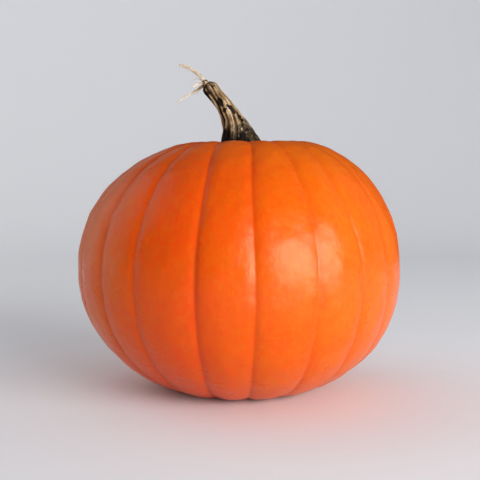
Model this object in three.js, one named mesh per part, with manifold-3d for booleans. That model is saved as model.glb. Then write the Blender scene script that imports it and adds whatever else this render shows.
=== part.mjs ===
// A ripe pumpkin as picked: the ribbed fruit, its woody stem, and the fibres torn from the vine at its end.
// Millimetres, +Z up. The fruit rests on its lowest ribs at z = 0 and its front faces -Y.
// An azimuth is in degrees, 0 at the front and turning towards +X. A polar angle is 0 at the top.
import * as THREE from "three";
import { mergeVertices } from "three/addons/utils/BufferGeometryUtils.js";
import Module from "manifold-3d";

// The fruit's plain form, before its ribs: two half eggs that meet at its widest level.
const RADIUS = 110.5;
const WIDEST_LEVEL = 82;
const TOP_HALF = 93.8;
const BOTTOM_HALF = 89.2;
const TOP_POWER = 2.21;
const BOTTOM_POWER = 2.11;
// The hollow round the stem, a little to one side, the shallower one at the blossom end, and its scar.
const STEM_DIP = 14.8;
const STEM_DIP_RADIUS = 26;
const STEM_DIP_X = 6.5;
const BLOSSOM_DIP = 12;
const BLOSSOM_DIP_RADIUS = 30;
const SCAR_HEIGHT = 1.6;
const SCAR_RADIUS = 7;
// The shoulders lean: the side towards +X stands higher at the top and hangs lower at the middle and below.
const TOP_LEAN = 0.059;
const MIDDLE_LEAN = -0.012;
const BOTTOM_LEAN = 0.03;

// Each rib swells between two furrows. A swell is a share of the rib's width.
const SWELL = 0.02;
const SWELL_MORE_TOP = 0.01;
const SWELL_MORE_BOTTOM = 0.02;
const FURROW_DEPTH = 1.1;
const FURROW_FLANK = 2.6;
const FURROW_ROUND = 0.5;
const FURROW_FADE_RADIUS = 65;
// For each furrow: its azimuth at the widest level, its share of the full depth, the degrees by which it
// turns towards the stem and towards the blossom end and by which it wanders on its way, and the share of
// the full swell of the rib that follows it.
const FURROWS = [
  [-172, 0.8, -2, 0, 0.5, 1.0],
  [-153, 1.0, 2, 2, -0.6, 0.9],
  [-133, 0.8, -2, -2, 0.8, 1.2],
  [-113, 1.0, -3, 3, -0.4, 1.0],
  [-94, 0.9, -4, 5, 0.5, 0.9],
  [-72.1, 0.7, -9, 5, 0.7, 1.0],
  [-52.1, 0.8, -12, 1, 0.1, 0.9],
  [-35.2, 0.8, -9, -8, -0.4, 1.05],
  [-13.4, 1.0, -7, -6, -0.5, 1.25],
  [4.6, 0.8, 7, 3, 0.4, 1.15],
  [25.2, 0.5, 5, 9, 0.6, 1.0],
  [41.9, 0.45, 12, 24, 2.1, 0.9],
  [59.7, 0.3, 8, 20, -0.2, 1.0],
  [77.2, 0.35, 4, 15, 0.5, 1.1],
  [98, 0.6, 1, 9, -0.6, 0.9],
  [120, 1.0, -2, 4, 0.5, 1.0],
  [143, 0.8, 0, 0, -0.7, 1.2],
  [166, 0.9, 2, 2, 0.4, 0.9],
];

// The fruit's grid: columns gather at the furrows and rows at the two ends.
const COLUMNS_PER_RIB = 6;
const FRUIT_ROWS = 38;
const COLUMN_GATHER = 0.09;
const ROW_GATHER = 0.25;

// The stem's middle line, from its torn end down to its foot in the hollow, and how thick it is there.
const STEM_LINE = [
  [-21.3, 0, 208.7],
  [-15.2, -0.6, 201.1],
  [-9, -0.8, 193.1],
  [-3.7, -0.4, 182.8],
  [-0.6, 0, 171.8],
  [1, 0, 161.6],
  [1.6, 0, 149.6],
];
const STEM_RADIUS = 4.5;
const STEM_END_SWELL = 0.7;
const STEM_END_LENGTH = 0.12;
const STEM_FLARE = 23.2;
const STEM_FLARE_POWER = 2.6;
const STEM_END_BULGE = 0.9;
// Grooves between its ridges, deeper at the foot: each groove's angle in degrees, where 0 is at the right
// and -90 at the front of the torn end, and its share of the depth. They turn with the stem on their way.
const GROOVES = [
  [3, 1.0],
  [-33, 0.35],
  [-73, 0.7],
  [-106, 1.0],
  [-147, 0.9],
  [172, 0.8],
  [127, 0.9],
  [86, 0.7],
  [45, 0.8],
];
const GROOVE_DEPTH = 0.2;
const GROOVE_MORE_AT_FOOT = 0.8;
const GROOVE_WIDTH = 11;
const RIDGE_RISE = 0.08;
const STEM_TWIST = 1.8;
const STEM_COLUMNS = 48;
const STEM_END_ROWS = 3;
const STEM_ROWS = 24;
const STEM_GAP = 0.3;

// The torn fibres: a small knot in the stem's end, and three strands that leave it.
const KNOT = [-23.1, -0.4, 210.3];
const KNOT_RADIUS = 2.9;
const POCKET_RADIUS = KNOT_RADIUS + STEM_GAP;
const STRANDS = [
  {
    root: 1.3,
    end: 0.7,
    line: [
      KNOT,
      [-24.9, 0.4, 212.9],
      [-27.5, 1.6, 216],
      [-31.9, 3, 219.4],
      [-36.6, 4, 222],
      [-41.4, 4.6, 223.1],
    ],
  },
  {
    root: 1.1,
    end: 0.55,
    line: [KNOT, [-26.9, -1.6, 209.9], [-29.7, -2.6, 208.9], [-32.3, -3.4, 207.3]],
  },
  {
    root: 1.3,
    end: 0.5,
    line: [KNOT, [-25.9, -1.2, 207.8], [-31, -3, 204.1], [-37.3, -5, 200.6], [-43.1, -6.6, 196.1]],
  },
];
const STRAND_COLUMNS = 8;
const STRAND_ROWS = 12;
const KNOT_COLUMNS = 12;
const KNOT_ROWS = 8;

const MERGE_DISTANCE = 1e-4;

const wasm = await Module();
wasm.setup();

const lerp = THREE.MathUtils.lerp;
const radians = THREE.MathUtils.degToRad;

// A closed skin: a sphere's grid with each point moved to where place(column, row) puts it.
function skin(columns, rows, place) {
  const geometry = new THREE.SphereGeometry(1, columns, rows);
  const { position, uv } = geometry.attributes;
  for (let i = 0; i < position.count; i++) {
    const column = (Math.round(uv.getX(i) * columns) + columns) % columns;
    const row = Math.round((1 - uv.getY(i)) * rows);
    position.setXYZ(i, ...place(column, row));
  }
  geometry.deleteAttribute("normal");
  geometry.deleteAttribute("uv");
  return mergeVertices(geometry, MERGE_DISTANCE);
}

// A closed geometry as a solid that can be joined and cut, and back again.
function toSolid(geometry) {
  const vertProperties = geometry.attributes.position.array;
  const triVerts = Uint32Array.from(geometry.index.array);
  return new wasm.Manifold(new wasm.Mesh({ numProp: 3, vertProperties, triVerts }));
}

function toGeometry(solid) {
  const { vertProperties, triVerts } = solid.getMesh();
  const geometry = new THREE.BufferGeometry();
  geometry.setAttribute("position", new THREE.BufferAttribute(vertProperties, 3));
  geometry.setIndex(new THREE.BufferAttribute(triVerts, 1));
  return geometry;
}

function furrowAzimuth(index, polar) {
  const [azimuth, , turnAbove, turnBelow, wander] = FURROWS[index % FURROWS.length];
  const cos = Math.cos(polar);
  const turn = cos > 0 ? turnAbove * cos ** 4 : turnBelow * cos ** 2;
  const lap = index < FURROWS.length ? 0 : 360;
  return radians(azimuth + lap + turn + wander * Math.sin(5 * polar));
}

// The height of a rib's skin over the plain form. across goes from 0 to 1 over the rib.
function relief(rib, across, polar, radius) {
  const [, depthBefore, , , , swellShare] = FURROWS[rib];
  const [, depthAfter] = FURROWS[(rib + 1) % FURROWS.length];
  const width = radius * (furrowAzimuth(rib + 1, polar) - furrowAzimuth(rib, polar));
  const meanWidth = radius * 2 * Math.PI / FURROWS.length;
  const side = Math.abs(2 * across - 1);
  const fromFurrow = Math.hypot(0.5 * width * (1 - side), FURROW_ROUND) - FURROW_ROUND;
  const more = polar < Math.PI / 2 ? SWELL_MORE_TOP : SWELL_MORE_BOTTOM;
  const swell = SWELL + more * Math.cos(polar) ** 2;
  const raised = swell * (swellShare * width * (1 - side * side) - meanWidth / 2);
  const fade = Math.min(radius / FURROW_FADE_RADIUS, 1);
  const depth = FURROW_DEPTH * lerp(depthBefore, depthAfter, across) * fade;
  return raised - depth * Math.exp(-fromFurrow / FURROW_FLANK);
}

// A point of the fruit's skin, or of a skin raised above it by lift. The fruit's own weight flattens its
// lowest ribs at z = 0.
function fruitPoint(rib, across, polar, lift = 0) {
  const sin = Math.sin(polar);
  const cos = Math.cos(polar);
  const top = cos > 0;
  const half = top ? TOP_HALF : BOTTOM_HALF;
  const power = top ? TOP_POWER : BOTTOM_POWER;
  const reach = ((sin / RADIUS) ** power + (Math.abs(cos) / half) ** power) ** (-1 / power);
  const plainRadius = reach * sin;
  const azimuth = lerp(furrowAzimuth(rib, polar), furrowAzimuth(rib + 1, polar), across);
  const plainX = plainRadius * Math.sin(azimuth);
  const fromStem = Math.hypot(plainX - STEM_DIP_X, plainRadius * Math.cos(azimuth));
  const dip = top
    ? -STEM_DIP * Math.exp(-((fromStem / STEM_DIP_RADIUS) ** 2))
    : BLOSSOM_DIP * Math.exp(-((plainRadius / BLOSSOM_DIP_RADIUS) ** 2))
      - SCAR_HEIGHT * Math.exp(-((plainRadius / SCAR_RADIUS) ** 4));
  const rise = relief(rib, across, polar, plainRadius) + lift;
  const slope = Math.hypot(sin / RADIUS, cos / half);
  const radius = plainRadius + rise * sin / RADIUS / slope;
  const x = radius * Math.sin(azimuth);
  const lean = MIDDLE_LEAN * sin ** 2 + (top ? TOP_LEAN * cos : BOTTOM_LEAN * cos * sin ** 2);
  const z = WIDEST_LEVEL + reach * cos + dip + rise * cos / half / slope + lean * x;
  return [x, -radius * Math.cos(azimuth), Math.max(z, 0)];
}

function fruitSkin(lift) {
  return skin(FURROWS.length * COLUMNS_PER_RIB, FRUIT_ROWS, (column, row) => {
    const rib = Math.floor(column / COLUMNS_PER_RIB);
    const step = (column % COLUMNS_PER_RIB) / COLUMNS_PER_RIB;
    const down = row / FRUIT_ROWS;
    const across = step - COLUMN_GATHER * Math.sin(2 * Math.PI * step);
    const polar = Math.PI * down - ROW_GATHER * Math.sin(2 * Math.PI * down);
    return fruitPoint(rib, across, polar, lift);
  });
}

// A point of a rod round a curve: along goes from 0 to 1, and the rod's section lies across the curve.
function rodPoint(curve, along, angle, radius) {
  const centre = curve.getPointAt(along);
  const tangent = curve.getTangentAt(along);
  const deep = new THREE.Vector3(0, 1, 0).addScaledVector(tangent, -tangent.y).normalize();
  const wide = new THREE.Vector3().crossVectors(deep, tangent);
  centre.addScaledVector(wide, -radius * Math.cos(angle));
  return centre.addScaledVector(deep, radius * Math.sin(angle));
}

function curveThrough(points) {
  return new THREE.CatmullRomCurve3(points.map((point) => new THREE.Vector3(...point)));
}

// How deep the grooves are at an angle round the stem, in degrees.
function grooveDepth(angle) {
  return GROOVES.reduce((depth, [middle, share]) => {
    const off = THREE.MathUtils.euclideanModulo(angle - middle + 180, 360) - 180;
    return depth + share * Math.exp(-((off / GROOVE_WIDTH) ** 2));
  }, 0);
}

// The stem: its rows run over the torn end, down the ridged sides and past the fruit's skin,
// where the fruit, raised by the gap, cuts it off. A pocket in the end holds the knot.
function makeStem() {
  const curve = curveThrough(STEM_LINE);
  const body = skin(STEM_COLUMNS, STEM_END_ROWS + STEM_ROWS + 1, (column, row) => {
    const angle = 2 * Math.PI * column / STEM_COLUMNS;
    const endShare = Math.min(row / STEM_END_ROWS, 1);
    const along = THREE.MathUtils.clamp((row - STEM_END_ROWS) / STEM_ROWS, 0, 1);
    const last = row === STEM_END_ROWS + STEM_ROWS + 1;
    const depth = grooveDepth(THREE.MathUtils.radToDeg(angle + STEM_TWIST * along));
    const ridges = 1 + RIDGE_RISE - GROOVE_DEPTH * (1 + GROOVE_MORE_AT_FOOT * along ** 2) * depth;
    const endSwell = STEM_END_SWELL * Math.exp(-((along / STEM_END_LENGTH) ** 2));
    const plain = STEM_RADIUS + endSwell + STEM_FLARE * along ** STEM_FLARE_POWER;
    const radius = plain * ridges * endShare * (last ? 0 : 1);
    const point = rodPoint(curve, along, angle, radius);
    const bulge = STEM_END_BULGE * (1 - endShare ** 2);
    return point.addScaledVector(curve.getTangentAt(along), -bulge).toArray();
  });
  const pocket = new THREE.IcosahedronGeometry(POCKET_RADIUS, 2).translate(...KNOT);
  pocket.deleteAttribute("normal");
  pocket.deleteAttribute("uv");
  return toSolid(body)
    .subtract(toSolid(fruitSkin(STEM_GAP)))
    .subtract(toSolid(mergeVertices(pocket, MERGE_DISTANCE)));
}

// A strand tapers from its root in the knot to its dry end, and stops short of the stem's rim.
function makeStrand({ root, end, line }) {
  const curve = curveThrough(line);
  return toSolid(skin(STRAND_COLUMNS, STRAND_ROWS, (column, row) => {
    const angle = 2 * Math.PI * column / STRAND_COLUMNS;
    const along = THREE.MathUtils.clamp((row - 1) / (STRAND_ROWS - 2), 0, 1);
    const closed = row === 0 || row === STRAND_ROWS;
    return rodPoint(curve, along, angle, closed ? 0 : lerp(root, end, along)).toArray();
  }));
}

function makeTornFibres() {
  const knot = skin(KNOT_COLUMNS, KNOT_ROWS, (column, row) => {
    const angle = 2 * Math.PI * column / KNOT_COLUMNS;
    const polar = Math.PI * row / KNOT_ROWS;
    const flat = KNOT_RADIUS * Math.sin(polar);
    return [
      KNOT[0] + flat * Math.sin(angle),
      KNOT[1] - flat * Math.cos(angle),
      KNOT[2] + KNOT_RADIUS * Math.cos(polar),
    ];
  });
  return STRANDS.map(makeStrand).reduce((tuft, strand) => tuft.add(strand), toSolid(knot));
}

function addPiece(group, name, geometry, color, roughness) {
  const material = new THREE.MeshStandardMaterial({ color, roughness, metalness: 0 });
  const mesh = new THREE.Mesh(geometry, material);
  mesh.name = name;
  group.add(mesh);
}

const pumpkin = new THREE.Group();
addPiece(pumpkin, "fruit", fruitSkin(0), 0xe8691c, 0.38);
addPiece(pumpkin, "stem", toGeometry(makeStem()), 0x8f7a5c, 0.85);
addPiece(pumpkin, "torn_fibres", toGeometry(makeTornFibres()), 0xcdbb95, 0.9);

// The origin is under the middle of the whole pumpkin's box, on the surface that it rests on.
const box = new THREE.Box3().setFromObject(pumpkin);
const middle = box.getCenter(new THREE.Vector3());
pumpkin.position.set(-middle.x, -middle.y, 0);

export default pumpkin;
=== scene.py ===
# A ripe ribbed pumpkin as picked, with its curved woody stem and the fibres torn from the vine.
# Metres, +Z up, the front facing -Y. An azimuth is 0 at the front and turns towards +X.
import math
import random
from bisect import bisect_right
from functools import reduce
from itertools import accumulate

import bmesh
import bpy
from mathutils import Matrix, Vector, noise
from mathutils.geometry import interpolate_bezier


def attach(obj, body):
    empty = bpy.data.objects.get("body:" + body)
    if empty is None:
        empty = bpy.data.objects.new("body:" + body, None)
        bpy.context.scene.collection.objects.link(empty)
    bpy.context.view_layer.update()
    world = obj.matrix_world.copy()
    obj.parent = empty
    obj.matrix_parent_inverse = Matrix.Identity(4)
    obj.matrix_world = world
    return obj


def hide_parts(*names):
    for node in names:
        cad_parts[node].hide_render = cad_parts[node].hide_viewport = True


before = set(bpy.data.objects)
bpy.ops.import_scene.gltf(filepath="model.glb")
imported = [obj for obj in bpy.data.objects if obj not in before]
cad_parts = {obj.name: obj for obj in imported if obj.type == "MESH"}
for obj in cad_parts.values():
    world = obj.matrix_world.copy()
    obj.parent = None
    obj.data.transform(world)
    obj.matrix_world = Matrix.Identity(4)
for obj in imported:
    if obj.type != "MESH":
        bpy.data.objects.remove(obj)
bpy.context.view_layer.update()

# The camera stands where the photograph was taken from: almost level with the rim of the stem's hollow,
# 0.65 m from the fruit, looking down a little through a short telephoto lens.
VIEW_CENTRE = Vector((0.0003, 0, 0.1023))
VIEW_DISTANCE = 0.65
VIEW_ELEVATION = math.radians(4.7)
LENS_LENGTH = 70
SENSOR_WIDTH = 36


def direction(azimuth, elevation):
    level = math.cos(elevation)
    return Vector((math.sin(azimuth) * level, -math.cos(azimuth) * level, math.sin(elevation)))


to_camera = direction(0, VIEW_ELEVATION)
camera = bpy.data.objects.new("camera", bpy.data.cameras.new("camera"))
camera.data.lens = LENS_LENGTH
camera.data.sensor_width = SENSOR_WIDTH
camera.location = VIEW_CENTRE + VIEW_DISTANCE * to_camera
camera.rotation_euler = to_camera.to_track_quat("Z", "Y").to_euler()
bpy.context.collection.objects.link(camera)
bpy.context.scene.camera = camera

# The surface and the light: a seamless sheet of pale paper that lies flat and rises far behind the fruit, a
# large window-like softbox low at the right, dimmer ones like pale walls round it and above the paper, and a
# plain grey room.
PAPER_WIDTH = 8
PAPER_FRONT = -3
PAPER_BEND = 0.95
BEND_RADIUS = 1.2
BEND_STEPS = 24
PAPER_TOP = 4
PAPER_LEVEL = -0.0002
PAPER_COLOUR = (0.82, 0.85, 0.885, 1)
WINDOW_DISTANCE = 1.5
WINDOW_AZIMUTH = math.radians(43)
WINDOW_ELEVATION = math.radians(9)
# The walls stand this far to each side and behind the middle of the fruit, and their middles this high.
WALL_ASIDE = 1.6
WALL_BEHIND = 0.5
WALL_HEIGHT = 0.6
ROOM_COLOUR = (0.99, 0.94, 0.98, 1)
ROOM_STRENGTH = 0.33
ROOM_IN_GLOSS = 0.035


def new_material(name):
    material = bpy.data.materials.new(name)
    material.use_nodes = True
    return material, material.node_tree.nodes["Principled BSDF"]


def to_object(name, shape, material):
    """A finished mesh with smooth faces, at the origin, with its place in its mesh."""
    for face in shape.faces:
        face.smooth = True
    mesh = bpy.data.meshes.new(name)
    shape.to_mesh(mesh)
    shape.free()
    mesh.materials.append(material)
    made = bpy.data.objects.new(name, mesh)
    bpy.context.collection.objects.link(made)
    return made


def add_softbox(name, place, aim, width, height, watts, colour):
    light = bpy.data.lights.new(name, "AREA")
    light.shape = "RECTANGLE"
    light.size = width
    light.size_y = height
    light.energy = watts
    light.color = colour
    lamp = bpy.data.objects.new(name, light)
    lamp.location = place
    lamp.rotation_euler = (Vector(place) - Vector(aim)).to_track_quat("Z", "Y").to_euler()
    lamp.visible_camera = False
    bpy.context.collection.objects.link(lamp)
    return lamp


def node(owner, kind, inputs=None, **settings):
    """A shader node with its settings and inputs. An input is a value or another node's output."""
    made = owner.node_tree.nodes.new("ShaderNode" + kind)
    for name, value in settings.items():
        setattr(made, name, value)
    for socket, value in (inputs or {}).items():
        if isinstance(value, bpy.types.NodeSocket):
            owner.node_tree.links.new(value, made.inputs[socket])
        else:
            made.inputs[socket].default_value = value
    return made


paper_material, paper_shader = new_material("paper")
paper_shader.inputs["Base Color"].default_value = PAPER_COLOUR
paper_shader.inputs["Roughness"].default_value = 0.9
paper_shader.inputs["Specular IOR Level"].default_value = 0.2


def paper_strip(name, profile):
    """A strip of the paper, across the view, through the profile's points (y, z)."""
    shape = bmesh.new()
    bmesh.ops.create_grid(shape, x_segments=1, y_segments=len(profile) - 1, size=1)
    for vert in shape.verts:
        y, z = profile[round((vert.co.y + 1) / 2 * (len(profile) - 1))]
        vert.co = Vector((vert.co.x * PAPER_WIDTH / 2, y, PAPER_LEVEL + z))
    made = to_object(name, shape, paper_material)
    return made


turns = [math.pi / 2 * step / BEND_STEPS for step in range(BEND_STEPS + 1)]
bend = [(PAPER_BEND + BEND_RADIUS * math.sin(turn), BEND_RADIUS * (1 - math.cos(turn))) for turn in turns]
paper_strip("paper_floor", [(PAPER_FRONT, 0), (PAPER_BEND, 0)])
paper_wall = paper_strip("paper_wall", [*bend, (bend[-1][0], PAPER_TOP)])
paper_wall.visible_glossy = False

window_place = VIEW_CENTRE + WINDOW_DISTANCE * direction(WINDOW_AZIMUTH, WINDOW_ELEVATION)
left_place = (-WALL_ASIDE, WALL_BEHIND, WALL_HEIGHT)
right_place = (WALL_ASIDE, WALL_BEHIND, WALL_HEIGHT)
# Each softbox: its name, its place, what it faces, its width and height, its watts and its colour.
add_softbox("window", window_place, VIEW_CENTRE, 1.3, 0.95, 37, (1.0, 0.985, 0.97))
add_softbox("left_wall", left_place, VIEW_CENTRE, 1.6, 2.4, 9.5, (1.0, 1.0, 0.90))
add_softbox("right_wall", right_place, VIEW_CENTRE, 1.6, 2.4, 2.2, (1.0, 0.98, 0.97))
add_softbox("far_wall", (-1.1, 1.9, WALL_HEIGHT), VIEW_CENTRE, 1.5, 1.8, 2.6, (1.0, 0.98, 0.86))
above_paper, paper_middle = (-1.1, 0.9, 2.2), (-1.1, 2.15, 0.8)
paper_light = add_softbox("paper_light", above_paper, paper_middle, 2.0, 0.5, 6.0, (1.0, 0.95, 0.98))
paper_light.visible_glossy = False
room = bpy.data.worlds.new("room")
room.use_nodes = True
background = room.node_tree.nodes["Background"]
background.inputs["Color"].default_value = ROOM_COLOUR
# The room is darker in reflections than it is as light.
in_gloss = node(room, "LightPath").outputs["Is Glossy Ray"]
dimming = {0: in_gloss, 1: ROOM_IN_GLOSS - ROOM_STRENGTH, 2: ROOM_STRENGTH}
strength = node(room, "Math", dimming, operation="MULTIPLY_ADD").outputs["Value"]
room.node_tree.links.new(strength, background.inputs["Strength"])
bpy.context.scene.world = room
bpy.context.scene.view_settings.view_transform = "Standard"

# The fruit: one grown body of flesh under a thin waxy rind. Eighteen ribs swell between furrows that run
# from the stem's hollow to the blossom scar, and its own weight has flattened the ribs that it rests on.
FRUIT_AXIS = Vector((-0.00017, -0.00001, 0))
RADIUS = 0.1105
WIDEST_LEVEL = 0.082
TOP_HALF = 0.0938
BOTTOM_HALF = 0.0892
TOP_POWER = 2.21
BOTTOM_POWER = 2.11
STEM_DIP = 0.0148
STEM_DIP_RADIUS = 0.026
STEM_DIP_X = 0.0065
BLOSSOM_DIP = 0.012
BLOSSOM_DIP_RADIUS = 0.030
SCAR_HEIGHT = 0.0016
SCAR_RADIUS = 0.007
TOP_LEAN = 0.059
MIDDLE_LEAN = -0.012
BOTTOM_LEAN = 0.03
SWELL = 0.02
SWELL_MORE_TOP = 0.01
SWELL_MORE_BOTTOM = 0.02
FURROW_DEPTH = 0.0011
FURROW_FLANK = 0.0026
FURROW_ROUND = 0.0005
FURROW_FADE_RADIUS = 0.065
# For each furrow: its azimuth at the widest level, its share of the full depth, the degrees by which it
# turns towards the stem and towards the blossom end and by which it wanders on its way, and the share of
# the full swell of the rib that follows it.
FURROWS = (
    (-172, 0.8, -2, 0, 0.5, 1.0), (-153, 1.0, 2, 2, -0.6, 0.9),
    (-133, 0.8, -2, -2, 0.8, 1.2), (-113, 1.0, -3, 3, -0.4, 1.0),
    (-94, 0.9, -4, 5, 0.5, 0.9), (-72.1, 0.7, -9, 5, 0.7, 1.0),
    (-52.1, 0.8, -12, 1, 0.1, 0.9), (-35.2, 0.8, -9, -8, -0.4, 1.05),
    (-13.4, 1.0, -7, -6, -0.5, 1.25), (4.6, 0.8, 7, 3, 0.4, 1.15),
    (25.2, 0.5, 5, 9, 0.6, 1.0), (41.9, 0.45, 12, 24, 2.1, 0.9),
    (59.7, 0.3, 8, 20, -0.2, 1.0), (77.2, 0.35, 4, 15, 0.5, 1.1),
    (98, 0.6, 1, 9, -0.6, 0.9), (120, 1.0, -2, 4, 0.5, 1.0),
    (143, 0.8, 0, 0, -0.7, 1.2), (166, 0.9, 2, 2, 0.4, 0.9),
)
COLUMNS_PER_RIB = 20
FRUIT_ROWS = 240
COLUMN_GATHER = 0.09
ROW_GATHER = 0.14
# The rind's own small relief, each as a height and a size: broad dents, a hammered surface, and waves
# that run along the ribs.
DENT = (0.00034, 0.022)
HAMMERING = (0.00034, 0.0080)
WAVE_HEIGHT = 0.00012
WAVES_ROUND = 26
WAVE_STRETCH = 0.1
# Dry skin rings the stem as far out as this.
RING_RADIUS = 0.024
# The rind's markings: broad patches, a fine speckle, and streaks that are stretched along the ribs, each as
# a size and as how far it shifts the colour between the two oranges.
PATCHES = (0.028, 0.20)
SPECKLE = (0.0035, 0.45)
STREAKS = (0.02, 0.15)
STREAK_STRETCH = 0.12
# The fine relief of the skin, each as a size and a height: pits, lines along the ribs, and grain.
PITS = (0.0055, 0.00022)
SKIN_LINES = (0.012, 0.00006)
SKIN_GRAIN = (0.0010, 0.00002)
# The wax is glossier and duller in patches of this size.
WAX_PATCH = 0.012
# The rind's two oranges: its random markings, and its painted light and shade, turn it between them.
DEEP_ORANGE = (0.73, 0.051, 0.0001, 1)
BRIGHT_ORANGE = (0.66, 0.124, 0.0003, 1)
# The orange of the painted shade in the furrows.
FURROW_SHADE_ORANGE = (0.60, 0.045, 0.0003, 1)
SHOULDER_TAN = (0.45, 0.20, 0.05, 1)
SCAR_BROWN = (0.20, 0.13, 0.07, 1)


def lerp(start, end, share):
    return start + (end - start) * share


def furrow_azimuth(index, polar):
    azimuth, _, turn_above, turn_below, wander, _ = FURROWS[index % len(FURROWS)]
    cos = math.cos(polar)
    turn = turn_above * cos ** 4 if cos > 0 else turn_below * cos ** 2
    return math.radians(azimuth + 360 * (index // len(FURROWS)) + turn + wander * math.sin(5 * polar))


def rib_relief(rib, across, polar, radius):
    """The height of a rib's skin over the plain form, and how near its furrow is, from 0 to 1."""
    depth_before, swell_share = FURROWS[rib][1], FURROWS[rib][-1]
    depth_after = FURROWS[(rib + 1) % len(FURROWS)][1]
    width = radius * (furrow_azimuth(rib + 1, polar) - furrow_azimuth(rib, polar))
    mean_width = radius * 2 * math.pi / len(FURROWS)
    side = abs(2 * across - 1)
    from_furrow = math.hypot(0.5 * width * (1 - side), FURROW_ROUND) - FURROW_ROUND
    nearness = math.exp(-from_furrow / FURROW_FLANK) * min(radius / FURROW_FADE_RADIUS, 1)
    nearness *= lerp(depth_before, depth_after, across)
    more = SWELL_MORE_TOP if polar < math.pi / 2 else SWELL_MORE_BOTTOM
    swell = SWELL + more * math.cos(polar) ** 2
    raised = swell * (swell_share * width * (1 - side * side) - mean_width / 2)
    return raised - FURROW_DEPTH * nearness, nearness


def fruit_point(rib, across, polar, small_relief):
    """A point of the rind, how near its furrow is, and its distance from the fruit's axis."""
    sin, cos = math.sin(polar), math.cos(polar)
    top = cos > 0
    half = TOP_HALF if top else BOTTOM_HALF
    power = TOP_POWER if top else BOTTOM_POWER
    reach = ((sin / RADIUS) ** power + (abs(cos) / half) ** power) ** (-1 / power)
    plain_radius = reach * sin
    azimuth = lerp(furrow_azimuth(rib, polar), furrow_azimuth(rib + 1, polar), across)
    from_stem = math.hypot(plain_radius * math.sin(azimuth) - STEM_DIP_X, plain_radius * math.cos(azimuth))
    lean = MIDDLE_LEAN * sin ** 2
    if top:
        dip = -STEM_DIP * math.exp(-((from_stem / STEM_DIP_RADIUS) ** 2))
        lean += TOP_LEAN * cos
    else:
        dip = BLOSSOM_DIP * math.exp(-((plain_radius / BLOSSOM_DIP_RADIUS) ** 2))
        dip -= SCAR_HEIGHT * math.exp(-((plain_radius / SCAR_RADIUS) ** 4))
        lean += BOTTOM_LEAN * cos * sin ** 2
    relief, nearness = rib_relief(rib, across, polar, plain_radius)
    rise = relief + small_relief
    slope = math.hypot(sin / RADIUS, cos / half)
    radius = plain_radius + rise * sin / RADIUS / slope
    x = radius * math.sin(azimuth)
    z = WIDEST_LEVEL + reach * cos + dip + rise * cos / half / slope + lean * x
    return Vector((x, -radius * math.cos(azimuth), max(z, 0))) + FRUIT_AXIS, nearness, plain_radius


def grid_sphere(shape, columns, rows):
    """A unit sphere's grid. A coarse one is made and divided once, which is far quicker."""
    bmesh.ops.create_uvsphere(shape, u_segments=columns // 2, v_segments=rows // 2, radius=1)
    bmesh.ops.subdivide_edges(shape, edges=shape.edges, cuts=1, use_grid_fill=True)
    for vert in shape.verts:
        vert.co.normalize()


def make_fruit():
    shape = bmesh.new()
    furrow = shape.verts.layers.float.new("furrow")
    at_stem = shape.verts.layers.float.new("at_stem")
    at_blossom = shape.verts.layers.float.new("at_blossom")
    meridian = shape.verts.layers.float_vector.new("meridian")
    columns = len(FURROWS) * COLUMNS_PER_RIB
    grid_sphere(shape, columns, FRUIT_ROWS)
    for vert in shape.verts:
        column = round(math.atan2(vert.co.x, -vert.co.y) / (2 * math.pi) * columns) % columns
        rib, step = divmod(column, COLUMNS_PER_RIB)
        step /= COLUMNS_PER_RIB
        across = step - COLUMN_GATHER * math.sin(2 * math.pi * step)
        down = math.acos(max(-1, min(1, vert.co.z))) / math.pi
        polar = math.pi * down - ROW_GATHER * math.sin(2 * math.pi * down)
        turned = 2 * math.pi * (rib + across) / len(FURROWS)
        level = math.sin(polar)
        place = Vector((math.cos(turned) * level, math.sin(turned) * level, math.cos(polar)))
        small = sum(height * noise.noise(place * (RADIUS / size)) for height, size in (DENT, HAMMERING))
        on_meridian = Vector((math.cos(turned), math.sin(turned), polar))
        stretched = Vector((on_meridian.x, on_meridian.y, polar * WAVE_STRETCH)) * WAVES_ROUND
        small += WAVE_HEIGHT * level * noise.noise(stretched)
        vert.co, vert[furrow], radius = fruit_point(rib, across, polar, small)
        vert[meridian] = on_meridian
        top = polar < math.pi / 2
        vert[at_stem] = math.exp(-((radius / RING_RADIUS) ** 4)) if top else 0
        vert[at_blossom] = 0 if top else math.exp(-((radius / SCAR_RADIUS) ** 4))
    return shape


def attribute(material, name, output="Fac"):
    return node(material, "Attribute", attribute_name=name).outputs[output]


def object_place(material):
    return node(material, "TexCoord").outputs["Object"]


def stretched_place(material, place, stretch):
    return node(material, "Mapping", {"Vector": place, "Scale": stretch}).outputs["Vector"]


def mottle(material, place, size, detail=2.0, roughness=0.5):
    """Soft patches of that size, from 0 to 1."""
    inputs = {"Vector": place, "Scale": 1 / size, "Detail": detail, "Roughness": roughness}
    return node(material, "TexNoise", inputs).outputs["Fac"]


def remap(material, amount, low, high, new_low=0.0, new_high=1.0, smooth=False):
    """The amount, with the stretch from low to high spread over new_low to new_high and cut off there."""
    inputs = {"Value": amount, "From Min": low, "From Max": high, "To Min": new_low, "To Max": new_high}
    kind = "SMOOTHSTEP" if smooth else "LINEAR"
    return node(material, "MapRange", inputs, interpolation_type=kind).outputs["Result"]


def combine(material, operation, first, second):
    return node(material, "Math", {0: first, 1: second}, operation=operation).outputs["Value"]


def add_up(material, *amounts):
    return reduce(lambda total, amount: combine(material, "ADD", total, amount), amounts)


def tint(material, amount, first, second):
    """The first colour turning to the second as amount goes from 0 to 1."""
    inputs = {"Factor": amount, 6: first, 7: second}
    return node(material, "Mix", inputs, data_type="RGBA").outputs[2]


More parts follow.
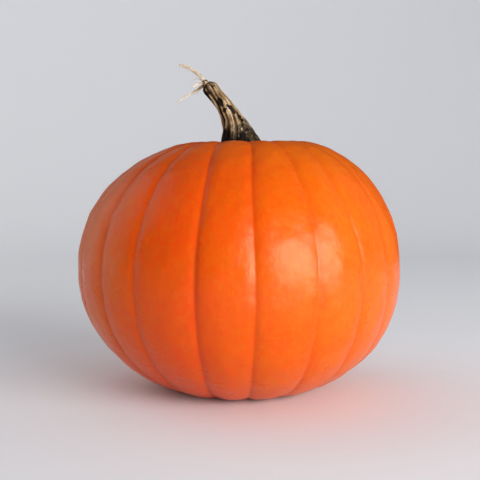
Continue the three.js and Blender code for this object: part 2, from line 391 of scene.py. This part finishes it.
def add_bump(material, shader, layers):
    """Lays fine relief on a surface: each layer is a height from 0 to 1 and its depth in metres."""
    normal = None
    for height, depth in layers:
        inputs = {"Height": height, "Distance": depth, "Strength": 1.0}
        if normal:
            inputs["Normal"] = normal
        normal = node(material, "Bump", inputs).outputs["Normal"]
    material.node_tree.links.new(normal, shader.inputs["Normal"])


rind, rind_shader = new_material("waxy_rind")
place = object_place(rind)
along_ribs = stretched_place(rind, attribute(rind, "meridian", "Vector"), (1, 1, STREAK_STRETCH))
patches = mottle(rind, place, PATCHES[0], 2)
speckle = mottle(rind, place, SPECKLE[0], 5, 0.65)
streaks = mottle(rind, along_ribs, STREAKS[0], 3, 0.6)
# Painted light and shade: the +X side, which faces the window softbox, is painted brighter and yellower and
# the -X side deeper, apart from its far flank, which is painted brighter for the light from the pale wall at
# the left, and the top of the shoulder gets a painted sheen.
painted_light_side_and_height = node(rind, "SeparateXYZ", {"Vector": place}).outputs
tone = add_up(
    rind,
    combine(rind, "MULTIPLY", patches, PATCHES[1]),
    combine(rind, "MULTIPLY", speckle, SPECKLE[1]),
    combine(rind, "MULTIPLY", streaks, STREAKS[1]),
    remap(rind, painted_light_side_and_height["X"], -0.05, 0.07, -0.06, 0.11, smooth=True),
    remap(rind, painted_light_side_and_height["X"], -0.10, -0.05, 0.14, 0, smooth=True),
    remap(rind, painted_light_side_and_height["Z"], 0.14, 0.17, 0, 0.10, smooth=True),
)
colour = tint(rind, remap(rind, tone, 0.24, 0.60), DEEP_ORANGE, BRIGHT_ORANGE)
# Painted shade: the rind is painted darker towards its furrows, as the shade that falls in these creases.
painted_furrow_shade = attribute(rind, "furrow")
colour = tint(rind, combine(rind, "MULTIPLY", painted_furrow_shade, 0.5), colour, FURROW_SHADE_ORANGE)
ring = combine(rind, "MULTIPLY", attribute(rind, "at_stem"), remap(rind, streaks, 0.3, 0.7, 0.2, 0.9))
colour = tint(rind, ring, colour, SHOULDER_TAN)
colour = tint(rind, attribute(rind, "at_blossom"), colour, SCAR_BROWN)
rind.node_tree.links.new(colour, rind_shader.inputs["Base Color"])
wax = mottle(rind, place, WAX_PATCH, 3)
rind.node_tree.links.new(remap(rind, wax, 0.3, 0.7, 0.26, 0.36), rind_shader.inputs["Roughness"])
rind_shader.inputs["Specular IOR Level"].default_value = 0.36
rind_shader.inputs["Specular Tint"].default_value = (1.0, 0.88, 0.63, 1)
add_bump(rind, rind_shader, (
    (mottle(rind, place, PITS[0], 2), PITS[1]),
    (mottle(rind, along_ribs, SKIN_LINES[0], 2), SKIN_LINES[1]),
    (mottle(rind, place, SKIN_GRAIN[0], 2), SKIN_GRAIN[1]),
))

fruit = to_object("fruit_rind", make_fruit(), rind)
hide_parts("fruit")
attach(fruit, "root")

# The stem: dry, woody and ridged, grown out of the hollow and curved to the left, where it broke off.
# It has dried to straw-coloured ridges with brown grooves between them, and mould has spotted it black.
STEM_LINE = (
    (-0.0213, 0, 0.2087), (-0.0152, -0.0006, 0.2011), (-0.0090, -0.0008, 0.1931),
    (-0.0037, -0.0004, 0.1828), (-0.0006, 0, 0.1718), (0.0010, 0, 0.1616),
    (0.0016, 0, 0.1496),
)
STEM_RADIUS = 0.0045
STEM_END_SWELL = 0.0007
STEM_END_LENGTH = 0.12
STEM_FLARE = 0.0232
STEM_FLARE_POWER = 2.6
STEM_END_BULGE = 0.0046
STEM_END_START = 0.038
STEM_FOOT = 0.93
# Each groove's angle round the stem in degrees, -90 at the front and 0 at the right, and its share of the
# depth.
GROOVES = (
    (3, 0.7), (-33, 0.4), (-73, 0.7), (-106, 1.0), (-147, 0.9), (172, 0.8), (127, 0.9), (86, 0.7),
    (45, 0.8),
)
GROOVE_DEPTH = 0.2
GROOVE_MORE_AT_FOOT = 0.8
GROOVE_WIDTH = 11
RIDGE_RISE = 0.08
STEM_TWIST = 1.8
STEM_COLUMNS = 180
STEM_END_ROWS = 12
STEM_ROWS = 151
# The dry wood grew unevenly, with coarse and fine lines and with lumps. Each has its waves round the stem
# and along it, and its rise as a share of the stem's radius. The lines also lighten the wood, by their tint.
COARSE_WAVES = (7, 4)
COARSE_RISE = 0.11
COARSE_TINT = 0.35
FINE_WAVES = (19, 11)
FINE_RISE = 0.06
FINE_TINT = 0.2
LUMP_WAVES = (1.7, 9)
LUMP_RISE = 0.07
# The grooves wander by up to so many degrees with the lumps, and their depth varies in waves of its own.
GROOVE_WANDER = 9
GROOVE_WAVES = (2, 6)
GROOVE_VARIATION = 0.9
GROOVE_SHIFT = 3
# The broken end and the rows just below it are rough, coarsely and finely, each with its waves and height.
ROUGH_ROWS = 4
END_ROUGHNESS = ((3.1, 0.0007), (9, 0.0005))
# How far the wood's grain runs along the stem and over its end, in the units of its own coordinates.
GRAIN_LENGTH = 2.6
GRAIN_OVER_END = 0.3
# The mould spots: along the stem from its torn end, angle round it, half length, half width in degrees, and
# strength.
MOULD = (
    (0.205, -74, 0.036, 20, 1.3), (0.240, -79, 0.030, 13, 1.2), (0.313, -73, 0.022, 13, 1.4),
    (0.290, -42, 0.012, 9, 1.0), (0.322, -30, 0.026, 13, 1.5), (0.372, -18, 0.028, 13, 1.5),
    (0.440, 4, 0.014, 8, 1.0), (0.483, 10, 0.015, 8, 1.1), (0.527, 0, 0.013, 7, 1.0),
    (0.533, 40, 0.018, 9, 1.0), (0.577, 16, 0.014, 8, 1.1), (0.500, 30, 0.014, 8, 0.9),
    (0.660, -9, 0.075, 13, 1.6), (0.585, -96, 0.090, 19, 1.6), (0.270, -107, 0.210, 7, 0.9),
    (0.070, -150, 0.070, 28, 1.2), (0.040, -40, 0.045, 70, 0.45), (0.190, 2, 0.160, 4, 0.7),
    (0.66, -50, 0.04, 18, 0.8), (0.68, 40, 0.05, 14, 0.6),
)
BLACKEST = 1.5
MOULD_BLACK = (0.005, 0.003, 0.002, 1)
# More spots lie round its back, drawn at random.
MOULD_SEED = 7
HIDDEN_SPOTS = 14
# The wood's fine fibres and broader threads, each with its stretch along the grain and its size there.
FIBRES = (0.16, 0.05)
THREADS = (0.10, 0.16)
BLOTCH = 0.0030
BROAD_PATCH = 0.007
LINE_STEPS = 24


def smooth_line(points):
    """A function that gives the place and the direction at a share of a smooth line through the points.

    Between two points the line is found in LINE_STEPS steps."""
    points = [Vector(point) for point in points]
    padded = [2 * points[0] - points[1], *points, 2 * points[-1] - points[-2]]
    fine = []
    for before, start, end, after in zip(padded, padded[1:], padded[2:], padded[3:]):
        handles = start + (end - before) / 6, end - (after - start) / 6
        fine += interpolate_bezier(start, *handles, end, LINE_STEPS)[:-1]
    fine.append(points[-1])
    reached = list(accumulate(((b - a).length for a, b in zip(fine, fine[1:])), initial=0))

    def at(share):
        wanted = share * reached[-1]
        i = min(bisect_right(reached, wanted), len(fine) - 1)
        part = (wanted - reached[i - 1]) / (reached[i] - reached[i - 1])
        first, last = max(i - 2, 0), min(i + 1, len(fine) - 1)
        return fine[i - 1].lerp(fine[i], part), (fine[last] - fine[first]).normalized()

    return at


def beside(at, share, across, behind):
    """The place beside a line, at a share of it: so far across the view and so far behind the line."""
    centre, along = at(share)
    back = Vector((0, 1, 0)) - along * along.y
    back.normalize()
    return centre - back.cross(along) * across + back * behind


def turn_between(angle, other):
    return (angle - other + 180) % 360 - 180


def groove_depth(angle):
    depth = 0
    for middle, share in GROOVES:
        depth += share * math.exp(-((turn_between(angle, middle) / GROOVE_WIDTH) ** 2))
    return depth


def wood_noise(round_stem, along, waves, shift=0):
    waves_round, waves_along = waves
    return noise.noise(round_stem * waves_round + Vector((shift, 0, along * waves_along)))


def row_of(vert, rows):
    return round(math.acos(max(-1, min(1, vert.co.z))) / math.pi * rows)


def make_stem():
    shape = bmesh.new()
    ridge = shape.verts.layers.float.new("ridge")
    mould = shape.verts.layers.float.new("mould")
    foot = shape.verts.layers.float.new("foot")
    grain = shape.verts.layers.float_vector.new("grain")
    rows = STEM_END_ROWS + STEM_ROWS + 1
    grid_sphere(shape, STEM_COLUMNS, rows)
    draw = random.Random(MOULD_SEED)
    spots = list(MOULD)
    for _ in range(HIDDEN_SPOTS):
        length = draw.uniform(0.01, 0.05)
        width = draw.uniform(6, 13)
        middle = (draw.uniform(0.15, 0.7), draw.uniform(70, 230))
        spots.append((*middle, length, width, draw.uniform(0.7, 1.1)))
    at = smooth_line(STEM_LINE)
    for vert in shape.verts:
        row = row_of(vert, rows)
        angle = math.atan2(vert.co.y, vert.co.x)
        end_share = min(row / STEM_END_ROWS, 1)
        along = lerp(STEM_END_START, STEM_FOOT, max(0, (row - STEM_END_ROWS) / (STEM_ROWS + 1)))
        turned = angle + STEM_TWIST * along
        degrees = math.degrees(turned)
        round_stem = Vector((math.cos(turned), math.sin(turned), 0))
        coarse = wood_noise(round_stem, along, COARSE_WAVES)
        fine = wood_noise(round_stem, along, FINE_WAVES)
        lump = wood_noise(round_stem, along, LUMP_WAVES)
        varied = wood_noise(round_stem, along, GROOVE_WAVES, GROOVE_SHIFT)
        depth = groove_depth(degrees + GROOVE_WANDER * lump) * (1 + GROOVE_VARIATION * varied)
        ridges = 1 + RIDGE_RISE - GROOVE_DEPTH * (1 + GROOVE_MORE_AT_FOOT * along ** 2) * depth
        ridges += COARSE_RISE * coarse + FINE_RISE * fine + LUMP_RISE * lump
        end_swell = STEM_END_SWELL * math.exp(-((along / STEM_END_LENGTH) ** 2))
        radius = (STEM_RADIUS + end_swell + STEM_FLARE * along ** STEM_FLARE_POWER) * ridges
        radius *= math.sin(math.pi / 2 * end_share)
        if row == rows:
            radius = 0
        bulge = STEM_END_BULGE * math.cos(math.pi / 2 * end_share)
        if row < STEM_END_ROWS + ROUGH_ROWS:
            for waves, height in END_ROUGHNESS:
                bulge += height * noise.noise(round_stem * waves * end_share)
        vert.co = beside(at, along, radius * math.cos(angle), radius * math.sin(angle))
        vert.co += FRUIT_AXIS - bulge * at(along)[1]
        vert[ridge] = max(0, min(1, 1 - depth + COARSE_TINT * coarse + FINE_TINT * fine))
        vert[foot] = along
        run = GRAIN_LENGTH * along + GRAIN_OVER_END * end_share
        vert[grain] = Vector((round_stem.x, round_stem.y, run))
        blackness = 0
        for centre, spot_angle, length, width, strength in spots:
            off_along = (along - centre) / length
            off_round = turn_between(degrees, spot_angle) / width
            blackness += strength * math.exp(-(off_along ** 2 + off_round ** 2))
        vert[mould] = min(blackness, BLACKEST)
    return shape


def colour_ramp(material, amount, stops):
    made = node(material, "ValToRGB", {"Fac": amount})
    ramp = made.color_ramp.elements
    while len(ramp) < len(stops):
        ramp.new(1.0)
    for element, (position, colour) in zip(ramp, stops):
        element.position = position
        element.color = colour
    return made.outputs["Color"]


dry_wood, wood_shader = new_material("dry_woody_stem")
place = object_place(dry_wood)
lengthwise = attribute(dry_wood, "grain", "Vector")
wood_fibres = mottle(dry_wood, stretched_place(dry_wood, lengthwise, (1, 1, FIBRES[0])), FIBRES[1], 4, 0.65)
threads = mottle(dry_wood, stretched_place(dry_wood, lengthwise, (1, 1, THREADS[0])), THREADS[1], 3, 0.6)
blotches = mottle(dry_wood, place, BLOTCH, 4, 0.7)
broad = mottle(dry_wood, place, BROAD_PATCH, 3)
# Its ridges are straw, its grooves brown, and its fibres, threads and broad patches vary both.
tone = add_up(
    dry_wood,
    combine(dry_wood, "MULTIPLY", attribute(dry_wood, "ridge"), 0.50),
    remap(dry_wood, wood_fibres, 0.3, 0.7, 0.0, 0.20),
    remap(dry_wood, threads, 0.35, 0.65, -0.04, 0.28),
    remap(dry_wood, broad, 0.3, 0.7, -0.16, 0.20),
)
straw = colour_ramp(dry_wood, tone, (
    (0.08, (0.012, 0.007, 0.003, 1)), (0.36, (0.065, 0.033, 0.012, 1)), (0.58, (0.24, 0.15, 0.070, 1)),
    (0.78, (0.47, 0.335, 0.195, 1)), (0.96, (0.72, 0.60, 0.46, 1)),
))
# Towards its foot it is darker, almost black, with pale specks.
darker_to_foot = add_up(
    dry_wood,
    attribute(dry_wood, "foot"),
    remap(dry_wood, broad, 0.3, 0.7, -0.10, 0.10),
    remap(dry_wood, blotches, 0.3, 0.7, -0.12, 0.12),
)
darker_to_foot = remap(dry_wood, darker_to_foot, 0.43, 0.57, 0, 0.95, smooth=True)
foot_dark_colour = colour_ramp(dry_wood, remap(dry_wood, blotches, 0.34, 0.66), (
    (0.0, (0.004, 0.003, 0.002, 1)), (0.50, (0.017, 0.012, 0.006, 1)), (0.75, (0.080, 0.054, 0.026, 1)),
    (1.0, (0.28, 0.205, 0.12, 1)),
))
colour = tint(dry_wood, darker_to_foot, straw, foot_dark_colour)
# The mould is black, and the blotches break up the edges of its spots.
ragged = remap(dry_wood, blotches, 0.3, 0.7, -0.36, 0.36)
black = add_up(dry_wood, attribute(dry_wood, "mould"), ragged)
black = remap(dry_wood, black, 0.36, 0.58, 0, 0.96, smooth=True)
colour = tint(dry_wood, black, colour, MOULD_BLACK)
dry_wood.node_tree.links.new(colour, wood_shader.inputs["Base Color"])
roughness = remap(dry_wood, blotches, 0.3, 0.7, 0.62, 0.86)
dry_wood.node_tree.links.new(roughness, wood_shader.inputs["Roughness"])
wood_shader.inputs["Specular IOR Level"].default_value = 0.15
add_bump(dry_wood, wood_shader, ((wood_fibres, 0.0004), (threads, 0.0003), (blotches, 0.0002)))

stem = to_object("woody_stem", make_stem(), dry_wood)
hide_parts("stem")
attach(stem, "root")

# The torn fibres: what is left of the vine at the broken end of the stem, a brown knot and flat strips of
# dry skin and string that curl away from it, with finer hairs between them.
KNOT = Vector((-0.0231, -0.0004, 0.2103))
KNOT_RADIUS = 0.00232
# Each strand: half width at its root and its end, how flat it is, how dark it starts and ends, its line.
STRANDS = (
    (0.0015, 0.0010, 0.40, 0.15, 0.25, (
        KNOT, (-0.0249, 0.0004, 0.2129), (-0.0275, 0.0016, 0.2160), (-0.0319, 0.0030, 0.2194),
        (-0.0366, 0.0040, 0.2220), (-0.0414, 0.0046, 0.2231))),
    (0.0012, 0.0005, 0.40, 0.30, 0.05, (
        KNOT, (-0.0269, -0.0016, 0.2099), (-0.0297, -0.0026, 0.2089), (-0.0323, -0.0034, 0.2073))),
    (0.0010, 0.0004, 0.60, 1.00, 0.10, (
        KNOT, (-0.0259, -0.0012, 0.2078), (-0.0310, -0.0030, 0.2041), (-0.0373, -0.0050, 0.2006),
        (-0.0431, -0.0066, 0.1961))),
    (0.00035, 0.00012, 0.8, 0.30, 0.1, (
        KNOT, (-0.0259, 0.0014, 0.2125), (-0.0291, 0.0036, 0.2137), (-0.0322, 0.0050, 0.2135))),
    (0.00030, 0.00010, 0.8, 0.40, 0.1, (
        KNOT, (-0.0255, -0.0030, 0.2105), (-0.0282, -0.0052, 0.2113), (-0.0303, -0.0066, 0.2127))),
    (0.00030, 0.00010, 0.8, 0.60, 0.2, (
        KNOT, (-0.0253, 0.0016, 0.2077), (-0.0279, 0.0034, 0.2055), (-0.0297, 0.0046, 0.2027))),
)
STRAND_COLUMNS = 20
STRAND_ROWS = 60
KNOT_COLUMNS = 48
KNOT_ROWS = 32
# So many rows at each end of a strand round it off.
CLOSING_ROWS = 2
# A strand's thickness swells and its flat side twists, in so many waves over its length, and its skin is
# ruffled along it and round it. The values named APART keep the strands from being alike.
SWELL_WAVES = 7
SWELL_APART = 3.7
SWELL_SHARE = 0.28
TWIST_WAVES = 2.3
TWIST_APART = 5.1
TWIST_SHIFT = 2
STRAND_TWIST = 1.1
RUFFLE_WAVES = 6
RUFFLE_ROUND = 2
RUFFLE_SHARE = 0.16
# How soon along a strand it has turned from its root's darkness to its end's.
DARK_TURN = 1.8
STRING_LENGTH = 8
STRING_APART = 4
# The knot is lumpy, coarsely and finely, each with its waves and its share of the radius, and it is mottled.
KNOT_LUMPS = ((1.4, 0.275), (4.5, 0.125))
KNOT_DARK = 0.6
KNOT_MOTTLE = 0.9
KNOT_MOTTLE_WAVES = 1.7
KNOT_GRAIN = 3
STRING_STRETCH = 0.25
STRING_SIZE = 0.35
SKIN_SPOT = 0.0022


def make_torn_fibres():
    shape = bmesh.new()
    dark = shape.verts.layers.float.new("dark")
    grain = shape.verts.layers.float_vector.new("grain")
    for number, (root, end, flatness, dark_root, dark_end, line) in enumerate(STRANDS):
        at = smooth_line(line)
        made = bmesh.ops.create_uvsphere(shape, u_segments=STRAND_COLUMNS, v_segments=STRAND_ROWS, radius=1)
        for vert in made["verts"]:
            row = row_of(vert, STRAND_ROWS)
            angle = math.atan2(vert.co.y, vert.co.x)
            around = Vector((math.cos(angle), math.sin(angle), 0))
            share = max(0, min(1, (row - CLOSING_ROWS) / (STRAND_ROWS - 2 * CLOSING_ROWS)))
            closing = min(row, STRAND_ROWS - row, CLOSING_ROWS) / CLOSING_ROWS
            half = lerp(root, end, share) * math.sin(math.pi / 2 * closing)
            half *= 1 + SWELL_SHARE * noise.noise(Vector((SWELL_WAVES * share, SWELL_APART * number, 0)))
            on_skin = RUFFLE_ROUND * around + Vector((0, 0, RUFFLE_WAVES * share + number))
            half *= 1 + RUFFLE_SHARE * noise.noise(on_skin)
            turn = noise.noise(Vector((TWIST_WAVES * share, TWIST_APART * number, TWIST_SHIFT)))
            flat = Vector((half * around.x, half * flatness * around.y))
            flat.rotate(Matrix.Rotation(STRAND_TWIST * turn, 2))
            vert.co = beside(at, share, flat.x, flat.y) + FRUIT_AXIS
            vert[dark] = lerp(dark_root, dark_end, min(DARK_TURN * share, 1))
            vert[grain] = around + Vector((0, 0, STRING_LENGTH * share + STRING_APART * number))
    made = bmesh.ops.create_uvsphere(shape, u_segments=KNOT_COLUMNS, v_segments=KNOT_ROWS, radius=1)
    for vert in made["verts"]:
        out = vert.co.copy()
        fullness = 1 + sum(share * noise.noise(out * waves) for waves, share in KNOT_LUMPS)
        vert.co = KNOT + out * (KNOT_RADIUS * fullness) + FRUIT_AXIS
        vert[dark] = KNOT_DARK + KNOT_MOTTLE * noise.noise(out * KNOT_MOTTLE_WAVES)
        vert[grain] = out * KNOT_GRAIN
    bmesh.ops.recalc_face_normals(shape, faces=shape.faces)
    return shape


dry_skin, skin_shader = new_material("dry_vine_fibre")
lengthwise = attribute(dry_skin, "grain", "Vector")
along_strand = stretched_place(dry_skin, lengthwise, (1, 1, STRING_STRETCH))
strings = mottle(dry_skin, along_strand, STRING_SIZE, 4, 0.6)
spots = mottle(dry_skin, object_place(dry_skin), SKIN_SPOT, 3, 0.6)
# From pale dry skin to brown, with the strings and spots varying it.
tone = add_up(
    dry_skin,
    attribute(dry_skin, "dark"),
    remap(dry_skin, strings, 0.3, 0.7, -0.22, 0.22),
    remap(dry_skin, spots, 0.3, 0.7, -0.25, 0.25),
)
colour = colour_ramp(dry_skin, tone, (
    (0.0, (0.66, 0.59, 0.48, 1)), (0.32, (0.52, 0.42, 0.30, 1)), (0.62, (0.24, 0.145, 0.07, 1)),
    (1.0, (0.045, 0.026, 0.013, 1)),
))
dry_skin.node_tree.links.new(colour, skin_shader.inputs["Base Color"])
skin_shader.inputs["Roughness"].default_value = 0.8
skin_shader.inputs["Specular IOR Level"].default_value = 0.3
skin_shader.inputs["Subsurface Weight"].default_value = 0.15
skin_shader.inputs["Subsurface Radius"].default_value = (1.0, 0.8, 0.6)
skin_shader.inputs["Subsurface Scale"].default_value = 0.0008
add_bump(dry_skin, skin_shader, ((strings, 0.0002), (spots, 0.0001)))

fibres = to_object("torn_vine_fibres", make_torn_fibres(), dry_skin)
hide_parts("torn_fibres")
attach(fibres, "root")
